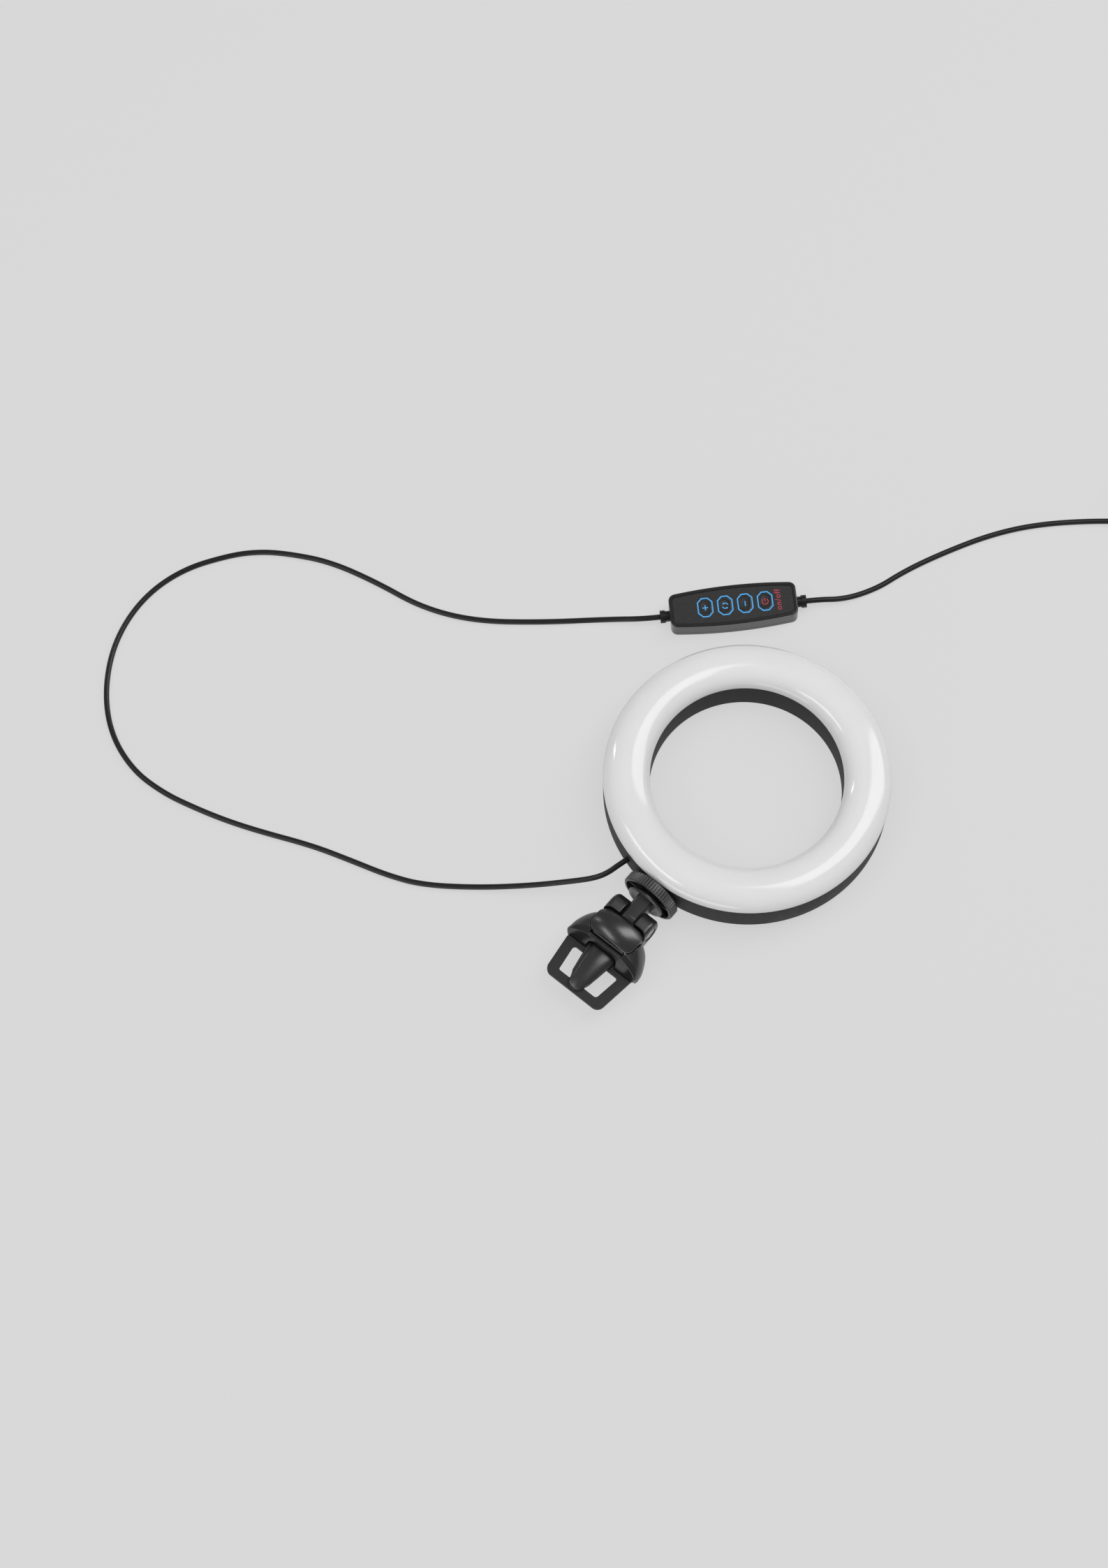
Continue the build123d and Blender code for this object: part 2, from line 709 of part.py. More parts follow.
def make_thumb_pad():
    """Crowned pad that is pressed to open the jaw, hollow, on two posts, and clear of the knuckle."""
    pad = cushion(0) & plan(pad_outline(0), pad_bottom, pad_crown + 1)
    room = cushion(pad_wall) & plan(pad_outline(-pad_wall), pad_bottom - 1, pad_crown + 1)
    pad -= room
    knuckle = Pos(0, -pivot_up, -pivot_out) * Rot(0, 90, 0) * Cylinder(knuckle_r + hinge_gap, 2 * ear_inner)
    pad -= Pos(0, pivot_up, pivot_out) * Rot(jaw_swing, 0, 0) * knuckle
    mid = (lever_start + pivot_out) / 2
    for side in (-1, 1):
        support = Pos(side * pad_post_x, 0, mid) * Rot(-90, 0, 0) * post(pad_post_r, pad_bottom, pad_crown)
        pad += support & cushion(pad_wall / 2)
    return pad


def make_jaw_grip():
    """Rubber pad under the tongue, a little proud at its tip."""
    low = tongue_base - jaw_grip_thickness
    sheet = tongue_outline(jaw_grip_margin)
    sheet &= Pos(0, grip_root + plate_tip / 2) * Rectangle(4 * plate_half_root, plate_tip)
    sheet = Pos(0, 2 * jaw_grip_margin) * sheet
    return plan(sheet, low, tongue_base)


def make_jaw_spring():
    """Compression spring under the lever, standing on the plate."""
    low = dome_base + plate_thickness + spring_wire / 2 + thread_gap
    high = pad_bottom - fit_gap / 2 - lever_thickness - spring_wire / 2 - thread_gap
    pitch = (high - low) / spring_turns
    path = Helix(pitch, high - low, spring_r)
    section = Plane(origin=path @ 0, z_dir=path % 0) * Circle(spring_wire / 2)
    return Pos(0, low, spring_out) * Rot(-90, 0, 0) * sweep(section, path=path)


# In-line remote, drawn in its own frame

roof_low = remote_height - face_sink - face_thickness - remote_roof
face_low = remote_height - face_sink - face_thickness
board_top = board_up + remote_board_thickness
switch_top = board_top + switch_height
key_top = remote_height - face_sink + key_rise
key_flange_top = roof_low - key_slack
relief_way = Pos(0, 0, relief_z) * Rot(0, 90, 0)      # local z runs along the lead
relief_in = remote_length / 2 - remote_wall - relief_flange
remote_spots = [Pos(side * remote_screw_x, 0, 0) for side in (-1, 1)]


def remote_outline(inset):
    """Plan of the remote: straight ends, bowed sides, rounded corners."""
    half = remote_length / 2 - inset
    end = remote_half_end - inset
    mid = remote_half_mid - inset
    near = ThreePointArc((-half, -end), (0, -mid), (half, -end))
    far = ThreePointArc((half, end), (0, mid), (-half, end))
    outline = near + Line(near @ 1, far @ 0) + far + Line(far @ 1, near @ 0)
    sheet = make_face(outline.edges())
    return fillet(sheet.vertices(), remote_corner - inset)


def slab(inset, low, high):
    """The remote's plan, inset, extruded between two heights."""
    return Pos(0, 0, low) * extrude(remote_outline(inset), high - low)


def octagon(grow):
    """Plan of a key, grown all round."""
    sheet = Rectangle(key_length + 2 * grow, key_width + 2 * grow)
    return chamfer(sheet.vertices(), key_cut + grow * (2 - math.sqrt(2)))


def relief_holes():
    """Round holes through the remote's two end walls."""
    hole = relief_way * post(relief_neck_r + thread_gap, relief_in, remote_length)
    return hole + Rot(0, 0, 180) * hole


def make_remote_bottom():
    """Lower shell of the remote, with two posts under the board and half of the relief holes."""
    shell = slab(0, 0, remote_split)
    shell = fillet(shell.faces().sort_by(Axis.Z)[0].edges(), remote_edge_r)
    shell -= slab(remote_wall, remote_wall, remote_height)
    for spot in remote_spots:
        shell += spot * post(remote_boss_r, remote_wall / 2, board_up - fit_gap)
        shell -= spot * post(remote_screw_r + hole_gap, -1, board_up)
        shell -= spot * post(remote_screw_head_r + hole_gap, -1, remote_screw_sink)
    return shell - relief_holes()


def make_remote_top():
    """Upper shell with a raised rim round the face and octagonal key holes."""
    low = remote_split + remote_gap
    shell = slab(0, low, remote_height)
    shell = fillet(shell.faces().sort_by(Axis.Z)[-1].edges(), remote_edge_r)
    shell -= slab(remote_wall, low - 1, roof_low)
    shell -= slab(rim_width, face_low, remote_height + 1)
    for x in key_xs:
        shell -= Pos(x, 0, roof_low - 1) * extrude(octagon(key_gap), remote_height)
    for spot in remote_spots:
        shell += spot * post(remote_boss_r, board_top + fit_gap, roof_low + remote_roof / 2)
        shell -= spot * post(remote_screw_r + thread_gap, board_top - 1, remote_screw_tip + fit_gap)
    return shell - relief_holes()


def make_remote_face():
    """Thin textured sheet inside the rim, with octagonal holes."""
    face = slab(rim_width + fit_gap, face_low, face_low + face_thickness)
    for x in key_xs:
        face -= Pos(x, 0, face_low - 1) * extrude(octagon(key_gap), remote_height)
    return face


def make_key(x):
    """Octagonal key with a dished top, a flange that holds it in and a stem over its switch."""
    key = Pos(0, 0, key_flange_top) * extrude(octagon(0), key_top - key_flange_top)
    low = key_flange_top - key_flange_thickness
    key += Pos(0, 0, low) * extrude(octagon(key_flange), key_flange_thickness)
    key += post(key_stem_r, switch_top + key_travel + key_slack, key_flange_top)
    dish = extrude(octagon(-key_dish_margin), key_dish)
    dish = chamfer(dish.faces().sort_by(Axis.Z)[-1].edges(), key_dish * 0.9)
    key -= Pos(0, 0, key_top) * Rot(180, 0, 0) * dish
    return Pos(x, 0, 0) * key


def make_remote_board():
    """Circuit board between the shells' posts."""
    board = slab(remote_wall + remote_gap, board_up, board_top)
    reach = relief_in - remote_gap
    board &= block((-reach, reach), (-remote_half_mid, remote_half_mid), (0, remote_height))
    for spot in remote_spots:
        board -= spot * post(remote_screw_r + hole_gap, 0, remote_height)
    return board


def make_key_switches():
    """Four push switches, each under its key."""
    half = switch_size / 2
    body = block((-half, half), (-half, half), (board_top, switch_top - switch_height / 4))
    body += post(key_stem_r, board_top, switch_top)
    return [Pos(x, 0, 0) * body for x in key_xs]


def make_remote_screws():
    """Two small screws that go in from below and hold the shells and the board."""
    head_low = remote_screw_sink - remote_screw_head
    head = post(remote_screw_head_r, head_low, remote_screw_sink)
    drive_top = head_low + remote_screw_head / 2
    drive = block((-remote_screw_r, remote_screw_r), (-0.25, 0.25), (head_low, drive_top))
    screw = head + post(remote_screw_r, head_low, remote_screw_tip) - drive - Rot(0, 0, 90) * drive
    return [spot * screw for spot in remote_spots]


def make_strain_reliefs():
    """Two moulded sleeves, each held by its flange inside the remote's end."""
    end = remote_length / 2
    sleeve = relief_way * post(relief_neck_r, relief_in, end + relief_neck)
    sleeve += relief_way * post(relief_collar_r, relief_in, relief_in + relief_flange - fit_gap)
    sleeve += relief_way * post(relief_collar_r, end + relief_neck, end + relief_neck + relief_collar)
    return [sleeve, Rot(0, 0, 180) * sleeve]


# Rest: the ring's far edge and the lock wheel's rim touch the plane, and the model's box is centred

rest_lean = math.degrees(math.atan2(wheel_r - stud_z, wheel_face + ring_outer_r))


def settled(shapes, others):
    """Where the ring's frame lies, so that the listed pieces rest on z = 0 about the origin."""
    lean = Rot(-rest_lean, 0, 0)
    box = Compound([lean * shape for shape in shapes + others]).bounding_box()
    return Pos(-box.center().X, -box.center().Y, -box.min.Z) * lean


# Lead

def spot_of(location):
    """The point at a location's origin."""
    return tuple(location.position)


def route(name, points):
    """A path of straight runs and tangent arcs, each as large as its two runs allow."""
    corners = [Vector(*point) for point in points]
    runs = [b - a for a, b in zip(corners, corners[1:])]
    radii = []
    for before, after in zip(runs, runs[1:]):
        half_turn = math.radians(before.get_angle(after) / 2)
        radii.append(0.45 * min(before.length, after.length) / math.tan(half_turn))
    path = FilletPolyline(*points, radius=radii)
    print(name, "length", round(path.length, 1), "least radius", round(min(radii), 1),
          "longest run", round(max(run.length for run in runs), 1))
    return path


def cord(name, path):
    """A round tube along a path, with its volume held against section times length."""
    section = Plane(origin=path @ 0, z_dir=path % 0) * Circle(cord_r)
    solid = sweep(section, path=path)
    print(name, "volume share", round(solid.volume / (math.pi * cord_r ** 2 * path.length), 4))
    return solid


tie_low = tie_thickness + tie_gap
coil_z = tie_low + cord_r                       # centre height of the lower layer
coil_step = coil_pitch / 2                      # a half turn draws in by half the pitch
coil_mouth = 2 * cord_r                         # straight length at each end of the coil
coil_inner = coil_r - 2 * coil_turns_in * coil_step
coil_end_r = coil_inner + 3.5 * coil_step
coil_end_y = coil_step / 2
coil_centre = Pos(coil_x, coil_y, 0) * Rot(0, 0, coil_turn) * Pos(0, coil_r, 0)


def half_turns(count, radius, side, height, step):
    """Flat half turns about the coil's centre, each starting at y = side times the radius."""
    arcs = []
    for i in range(count):
        after = radius + step
        middle = (-side * (radius + after) / 2, side * (radius - after) / 2, height)
        arcs.append(ThreePointArc((0, side * radius, height), middle, (0, -side * after, height)))
        radius = after
        side = -side
    return arcs


def make_coil_path():
    """Two turns inwards below, a climbing half turn, then outwards again on top."""
    high = coil_z + coil_pitch
    arcs = [Line((-coil_mouth, -coil_r, coil_z), (0, -coil_r, coil_z))]
    arcs += half_turns(2 * coil_turns_in, coil_r, -1, coil_z, -coil_step)
    half_way = (coil_inner, 0, (coil_z + high) / 2)
    arcs.append(ThreePointArc((0, -coil_inner, coil_z), half_way, (0, coil_inner, high)))
    arcs += half_turns(3, coil_inner, 1, high, coil_step)
    slant = coil_end_r * math.sqrt(0.5)
    last = (0, coil_end_y - coil_end_r, high)
    arcs.append(ThreePointArc(last, (slant, coil_end_y - slant, high), (coil_end_r, coil_end_y, high)))
    arcs.append(Line((coil_end_r, coil_end_y, high), (coil_end_r, coil_end_y + coil_mouth, high)))
    return Wire(arcs)


def least_gap(path, spacing):
    """The least clear distance between two turns of the coil, measured on points."""
    count = int(path.length / spacing)
    points = [path @ (i / count) for i in range(count + 1)]
    apart = int(math.pi * coil_inner / spacing)
    return min(
        (points[i] - points[j]).length for i in range(count + 1) for j in range(i + apart, count + 1)
    ) - 2 * cord_r


def make_cable_tie():
    """Closed band round the coil's bundle, on the side away from the climb."""
    outer = 2 * cord_r + coil_pitch + 2 * (tie_gap + tie_thickness)
    inner = outer - 2 * tie_thickness
    ring = RectangleRounded(outer, outer, cord_r)
    ring -= RectangleRounded(inner, inner, cord_r - tie_thickness / 2)
    band = extrude(Plane.XZ * ring, tie_width / 2, both=True)
    bundle = coil_inner + coil_step / 2 + coil_pitch / 2
    return Pos(-bundle, 0, coil_z + coil_pitch / 2) * band


# Power plug, drawn in its own frame: x out through the metal shell, lying on the plane

shell_start = plug_neck + plug_length
contact_xs = [contact_pitch * (i - (contact_count - 1) / 2) for i in range(contact_count)]


def make_plug_body():
    """Moulded grip with its neck."""
    body = block((plug_neck, shell_start), (-plug_width / 2, plug_width / 2), (0, plug_height))
    body = fillet(body.edges().filter_by(Axis.X), plug_round)
    body = chamfer(body.faces().filter_by(Axis.X).edges(), plug_round / 3)
    body += Pos(0, 0, plug_height / 2) * Rot(0, 90, 0) * post(plug_neck_r, 0, plug_neck + plug_round)
    return body


def plug_box(x, width, low, high):
    """A box on the plug's middle line, with heights counted from its middle."""
    return Pos(0, 0, plug_height / 2) * block(x, (-width / 2, width / 2), (low, high))


def make_plug_shell():
    """Steel sleeve with two latch windows on its upper side."""
    reach = (shell_start, shell_start + shell_tube_length)
    inner_width = shell_tube_width - 2 * shell_tube_wall
    inner_half = shell_tube_height / 2 - shell_tube_wall
    sleeve = plug_box(reach, shell_tube_width, -shell_tube_height / 2, shell_tube_height / 2)
    sleeve -= plug_box((shell_start, reach[1] + 1), inner_width, -inner_half, inner_half)
    for side in (-1, 1):
        window = plug_box((shell_start + 4.6, shell_start + 6.9), 2.4, 0, shell_tube_height)
        sleeve -= Pos(0, side * shell_tube_width / 4, 0) * window
    return sleeve


def make_plug_tongue():
    """Plastic tongue against the sleeve's lower side."""
    low = shell_tube_wall + fit_gap - shell_tube_height / 2
    width = shell_tube_width - 2 * (shell_tube_wall + fit_gap)
    reach = (shell_start, shell_start + shell_tube_length - 0.5)
    return plug_box(reach, width, low, low + plug_tongue_height)


def make_plug_contacts():
    """Flat contacts on the tongue, the outer two longer."""
    low = shell_tube_wall + fit_gap - shell_tube_height / 2 + plug_tongue_height
    strips = []
    for across in contact_xs:
        start = shell_start + (2.0 if abs(across) > contact_pitch else 3.0)
        reach = (start, shell_start + shell_tube_length - 2.5)
        strip = plug_box(reach, contact_width, low, low + contact_height)
        strips.append(Pos(0, across, 0) * strip)
    return strips


# Assembly

def placed(place, shape):
    """A piece, or a list of like pieces, moved to its place."""
    if isinstance(shape, list):
        return [place * one for one in shape]
    return place * shape


ring_pieces = {
    "back_shell": make_back_shell(),
    "diffuser": make_diffuser(),
    "led_board": make_led_board(),
    "leds": make_leds(),
    "back_screws": make_back_screws(),
    "cord_clamp": make_cord_clamp(),
    "threaded_insert": make_threaded_insert(),
    "wheel_washer": make_wheel_washer(),
    "thumbwheel": make_thumbwheel(),
    "stud": make_stud(),
    "hinge_tongue": make_hinge_tongue(),
}
clip_pieces = {
    "clip_housing": make_clip_housing(),
    "tilt_bolt": make_tilt_bolt(),
    "tilt_nut": make_tilt_nut(),
    "front_visor": make_front_visor(),
    "jaw_plate": make_jaw_plate(),
    "clip_screws": make_clip_screws(),
    "plate_grip": make_plate_grip(),
    "pivot_pin": make_pivot_pin(),
    "jaw_spring": make_jaw_spring(),
    "front_jaw": make_front_jaw(),
    "thumb_pad": make_thumb_pad(),
    "jaw_grip": make_jaw_grip(),
}
remote_pieces = {
    "remote_bottom": make_remote_bottom(),
    "remote_top": make_remote_top(),
    "remote_face": make_remote_face(),
    "remote_board": make_remote_board(),
    "key_switches": make_key_switches(),
    "remote_screws": make_remote_screws(),
    "strain_reliefs": make_strain_reliefs(),
}
for name, x in zip(("key_brighter", "key_mode", "key_dimmer", "key_power"), key_xs):
    remote_pieces[name] = make_key(x)
plug_pieces = {
    "plug_body": make_plug_body(),
    "plug_shell": make_plug_shell(),
    "plug_tongue": make_plug_tongue(),
    "plug_contacts": make_plug_contacts(),
}

rest = settled(
    [ring_pieces["back_shell"], ring_pieces["diffuser"], ring_pieces["thumbwheel"]],
    [at_pin * clip_pieces[name] for name in ("jaw_plate", "clip_housing", "thumb_pad")],
)
remote_place = Pos(remote_x, remote_y, 0) * Rot(0, 0, remote_turn)
relief_end = remote_length / 2 + relief_neck + relief_collar
for name, shape in ring_pieces.items():
    parts[name] = placed(rest, shape)
for name, shape in clip_pieces.items():
    parts[name] = placed(rest * at_pin, shape)
for name, shape in remote_pieces.items():
    parts[name] = placed(remote_place, shape)

lead_points = [
    spot_of(rest * exit_way * Pos(0, 0, clamp_out)),
    spot_of(rest * exit_way * Pos(0, 0, clamp_out + 7.0)),
    (-26.8, -52.8, 17.0),
    (-31.5, -59.2, 14.3),
    (-40.5, -67.3, 11.0),
    (-57.6, -82.2, 6.0),
    (-80.6, -100.9, 2.6),
    (-106.0, -119.0, lie),
    (-125.0, -127.0, lie),
    (-145.0, -132.8, lie),
    (-168.7, -140.0, lie),
    (-197.5, -152.3, lie),
    (-217.0, -159.5, lie),
    (-235.0, -164.7, lie),
    (-254.8, -169.3, lie),
    (-277.9, -170.1, lie),
    (-302.7, -161.5, lie),
    (-323.7, -143.0, lie),
    (-339.0, -116.9, lie),
    (-343.7, -87.5, lie),
    (-337.3, -60.1, lie),
    (-321.6, -36.3, lie),
    (-309.8, -24.1, lie),
    (-296.0, -14.7, lie),
    (-274.0, -3.5, lie),
    (-245.0, 3.5, lie),
    (-214.0, 7.9, lie),
    (-185.0, 20.5, lie),
    (-155.0, 43.5, lie),
    (-125.0, 70.0, lie),
    spot_of(remote_place * Pos(-relief_end - 10.0, 0, relief_z)),
    spot_of(remote_place * Pos(-relief_end, 0, relief_z)),
]
tail_points = [
    spot_of(remote_place * Pos(relief_end, 0, relief_z)),
    spot_of(remote_place * Pos(relief_end + 8.0, 0, relief_z)),
    (-30.5, 160.3, 3.6),
    (-23.8, 169.6, 2.3),
    (-17.6, 181.8, lie),
    (-13.8, 194.0, lie),
    (-8.6, 207.0, lie),
    (-0.6, 223.5, lie),
    (9.4, 241.8, lie),
    (21.0, 258.5, lie),
    (34.5, 273.4, lie),
    (50.0, 287.4, lie),
    (62.0, 296.5, coil_z),
    spot_of(coil_centre * Pos(-coil_mouth - 9.0, -coil_r, coil_z)),
    spot_of(coil_centre * Pos(-coil_mouth, -coil_r, coil_z)),
]
plug_place = coil_centre * Pos(coil_end_r + 6.0, 43.0, 0) * Rot(0, 0, 66)
end_high = coil_z + coil_pitch
end_points = [
    spot_of(coil_centre * Pos(coil_end_r, coil_end_y + coil_mouth, end_high)),
    spot_of(coil_centre * Pos(coil_end_r, coil_end_y + coil_mouth + 9.0, end_high)),
    spot_of(coil_centre * Pos(coil_end_r + 0.8, coil_end_y + coil_mouth + 19.0, 5.6)),
    spot_of(plug_place * Pos(-9.0, 0, plug_height / 2)),
    spot_of(plug_place * Pos(0, 0, plug_height / 2)),
]
parts["cord_lead"] = cord("cord_lead", route("cord_lead", lead_points))
parts["cord_tail"] = cord("cord_tail", route("cord_tail", tail_points))
coil_path = make_coil_path()
print("cord_coil length", round(coil_path.length, 1), "least gap", round(least_gap(coil_path, 1.0), 2))
parts["cord_coil"] = placed(coil_centre, cord("cord_coil", coil_path))
parts["cable_tie"] = placed(coil_centre, make_cable_tie())
parts["cord_end"] = cord("cord_end", route("cord_end", end_points))
for name, shape in plug_pieces.items():
    parts[name] = placed(plug_place, shape)

os.makedirs("parts", exist_ok=True)
for name, shape in parts.items():
    solids = shape if isinstance(shape, list) else [shape]
    solids = [solid for one in solids for solid in one.solids()]
    export_step(Compound(children=solids) if len(solids) > 1 else solids[0], "parts/" + name + ".step")
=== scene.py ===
import bpy
import bmesh
import math
from mathutils import Matrix, Vector


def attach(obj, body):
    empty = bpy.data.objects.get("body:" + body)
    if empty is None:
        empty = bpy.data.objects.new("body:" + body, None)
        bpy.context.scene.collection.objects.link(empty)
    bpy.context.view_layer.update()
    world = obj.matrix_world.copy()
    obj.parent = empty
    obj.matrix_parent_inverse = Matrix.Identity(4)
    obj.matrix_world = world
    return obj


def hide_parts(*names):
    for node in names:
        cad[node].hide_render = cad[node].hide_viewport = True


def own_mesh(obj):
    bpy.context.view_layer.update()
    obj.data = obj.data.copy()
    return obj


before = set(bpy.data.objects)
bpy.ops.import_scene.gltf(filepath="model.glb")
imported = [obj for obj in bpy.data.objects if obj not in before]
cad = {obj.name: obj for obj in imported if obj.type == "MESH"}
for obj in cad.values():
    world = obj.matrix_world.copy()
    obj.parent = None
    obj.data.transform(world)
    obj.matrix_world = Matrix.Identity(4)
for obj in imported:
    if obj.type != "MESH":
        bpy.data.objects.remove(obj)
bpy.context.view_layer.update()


# Camera: a long lens that looks down on the light from the clip's side. The picture is upright,
# 1587 x 2245 pixels, so the sensor's 36 mm side stands and gives the angle of view.

picture_height = 2245         # in pixels, as is the focal length
focal_length = 5122
sensor_height = 36.0
camera_data = bpy.data.cameras.new("camera")
camera_data.sensor_fit = "VERTICAL"
camera_data.sensor_height = sensor_height
camera_data.lens = focal_length / picture_height * sensor_height
camera_data.clip_start = 0.05
camera_data.clip_end = 20.0
camera = bpy.data.objects.new("camera", camera_data)
bpy.context.scene.collection.objects.link(camera)
camera_right = Vector((0.770513, 0.636271, -0.038327))
camera_up = Vector((-0.590813, 0.735448, 0.331746))
camera_back = Vector((0.239268, -0.232971, 0.942590))
camera_place = Vector((0.393814, -0.495209, 1.895300))
camera.matrix_world = Matrix((
    (camera_right.x, camera_up.x, camera_back.x, camera_place.x),
    (camera_right.y, camera_up.y, camera_back.y, camera_place.y),
    (camera_right.z, camera_up.z, camera_back.z, camera_place.z),
    (0, 0, 0, 1),
))
bpy.context.scene.camera = camera


# The lead: two stretches of round black PVC cord, 3.2 mm thick. One runs from the hole in the ring
# to the remote, the other from the remote through the stored coil to the plug. Both lie loose.

class Signal:
    """One output of a shader node, so that sums in a finish read as sums."""

    def __init__(self, finish, socket):
        self.finish = finish
        self.socket = socket

    def work(self, operation, first, second):
        settings = {"operation": operation}
        return self.finish.node("ShaderNodeMath", settings, {0: first, 1: second})

    def __add__(self, other):
        return self.work("ADD", self, other)

    def __radd__(self, other):
        return self.work("ADD", other, self)

    def __sub__(self, other):
        return self.work("SUBTRACT", self, other)

    def __rsub__(self, other):
        return self.work("SUBTRACT", other, self)

    def __mul__(self, other):
        return self.work("MULTIPLY", self, other)

    def __rmul__(self, other):
        return self.work("MULTIPLY", other, self)

    def __pow__(self, other):
        return self.work("POWER", self, other)


class Finish:
    """A surface finish round one Principled shader, with fixed values on the shader's own sockets."""

    def __init__(self, name, colour, roughness, **fixed):
        self.material = bpy.data.materials.new(name)
        self.material.use_nodes = True
        self.shader = self.material.node_tree.nodes["Principled BSDF"]
        self.set("Base Color", colour)
        self.set("Roughness", roughness)
        for socket, value in fixed.items():
            self.set(socket.replace("_", " ").title().replace("Ior", "IOR"), value)

    def put(self, socket, value):
        """Links a signal to a socket, or sets the socket to a fixed value."""
        if isinstance(value, Signal):
            self.material.node_tree.links.new(value.socket, socket)
        elif isinstance(value, (tuple, list)) and len(value) == 3 and socket.type == "RGBA":
            socket.default_value = (*value, 1.0)
        else:
            socket.default_value = value

    def set(self, socket, value):
        """Gives one of the shader's own sockets its signal or value."""
        self.put(self.shader.inputs[socket], value)

    def node(self, kind, settings=None, inputs=None, output=0):
        """Any shader node, with its settings first and then its inputs; gives one of its outputs."""
        made = self.material.node_tree.nodes.new(kind)
        for name, value in (settings or {}).items():
            setattr(made, name, value)
        for name, value in (inputs or {}).items():
            self.put(made.inputs[name], value)
        return Signal(self, made.outputs[output])

    def grain(self, size, detail=3.0):
        """Even noise with features of the given size in metres, on Object coordinates."""
        spot = self.node("ShaderNodeTexCoord", output="Object")
        inputs = {"Vector": spot, "Scale": 1 / size, "Detail": detail}
        return self.node("ShaderNodeTexNoise", None, inputs)

    def blend(self, share, first, second):
        """A colour between two, by a share from 0 to 1."""
        inputs = {0: share, 6: first, 7: second}
        return self.node("ShaderNodeMix", {"data_type": "RGBA"}, inputs, output=2)

    def relief(self, height, depth):
        """Raises the surface by a signal from 0 to 1 times the depth in metres."""
        inputs = {"Height": height, "Distance": depth, "Strength": 1.0}
        self.set("Normal", self.node("ShaderNodeBump", None, inputs))

    def cover(self, *pieces):
        """Gives whole pieces this finish."""
        for piece in pieces:
            if not piece.data.materials:
                piece.data.materials.append(self.material)
            for slot in piece.material_slots:
                slot.material = self.material


def choose(piece):
    """Makes one piece the only one selected."""
    if bpy.context.mode != "OBJECT":
        bpy.ops.object.mode_set(mode="OBJECT")
    bpy.ops.object.select_all(action="DESELECT")
    piece.select_set(True)
    bpy.context.view_layer.objects.active = piece
    return piece


def laid_cord(name, route, radius):
    """A cord as one open spline through its route, given in millimetres."""
    line = bpy.data.curves.new(name, "CURVE")
    line.dimensions = "3D"
    line.bevel_depth = radius
    line.bevel_resolution = 5
    line.use_fill_caps = True
    line.resolution_u = 8
    spline = line.splines.new("NURBS")
    spline.points.add(len(route) - 1)
    for point, place in zip(spline.points, route):
        point.co = (*(value / 1000 for value in place), 1)
    spline.order_u = 3
    spline.use_endpoint_u = True
    piece = bpy.data.objects.new(name, line)
    bpy.context.scene.collection.objects.link(piece)
    return piece


cord_radius = 0.0016
lie = 1.65                    # centre height of a cord on the floor, in millimetres
ring_lean = math.radians(3.4322109)
ring_place = (Matrix.Translation((0, 0.0359607, 0.0047431))
              @ Matrix.Rotation(-ring_lean, 4, "X"))
hole_turn = math.radians(16.6)
hole_height = 9.5             # above the ring's back, in millimetres
wall_inside = 77.85           # where the drawn lead starts, in the wall of the shell
wall_clear = 84.85            # where it leaves the hole's axis


def hole_point(reach):
    """A point on the cord hole's axis, at this distance from the ring's axis, in millimetres."""
    spot = Vector((-math.sin(hole_turn) * reach, -math.cos(hole_turn) * reach, hole_height)) / 1000
    return tuple((ring_place @ spot) * 1000)


remote_place = (Matrix.Translation((-0.0736, 0.1173, 0))
                @ Matrix.Rotation(math.radians(45.4), 4, "Z"))
collar_end = 41.8             # from the remote's middle, in millimetres
cord_height = 5.15            # of the cord in the remote's collars


def remote_point(along, height):
    """A point on the remote's middle line, in millimetres."""
    return tuple((remote_place @ (Vector((along, 0, height)) / 1000)) * 1000)


lead_route = [
    hole_point(wall_inside), hole_point(wall_clear),
    (-26.8, -52.8, 17.0), (-31.5, -59.2, 14.3), (-40.5, -67.3, 11.0), (-57.6, -82.2, 6.0),
    (-80.6, -100.9, 2.6), (-106.0, -119.0, lie), (-125.0, -127.0, lie), (-145.0, -132.8, lie),
    (-168.7, -140.0, lie), (-197.5, -152.3, lie), (-217.0, -159.5, lie), (-235.0, -164.7, lie),
    (-254.8, -169.3, lie), (-277.9, -170.1, lie), (-302.7, -161.5, lie), (-323.7, -143.0, lie),
    (-339.0, -116.9, lie), (-343.7, -87.5, lie), (-337.3, -60.1, lie), (-321.6, -36.3, lie),
    (-309.8, -24.1, lie), (-296.0, -14.7, lie), (-274.0, -3.5, lie), (-245.0, 3.5, lie),
    (-214.0, 7.9, lie), (-185.0, 20.5, lie), (-155.0, 43.5, lie), (-125.0, 70.0, lie),
    remote_point(-51.8, cord_height), remote_point(-collar_end, cord_height),
]
lead = laid_cord("lead", lead_route, cord_radius)

coil_radius = 21.2
coil_step = 2.05              # a half turn draws in by this much
coil_low = 2.65
coil_high = coil_low + 2 * coil_step
coil_end = coil_radius - 0.5 * coil_step
coil_place = (Matrix.Translation((0.082, 0.313, 0))
              @ Matrix.Rotation(math.radians(41.0), 4, "Z")
              @ Matrix.Translation((0, coil_radius / 1000, 0)))


def coil_point(x, y, z):
    """A point given from the coil's centre, in millimetres."""
    return tuple((coil_place @ (Vector((x, y, z)) / 1000)) * 1000)


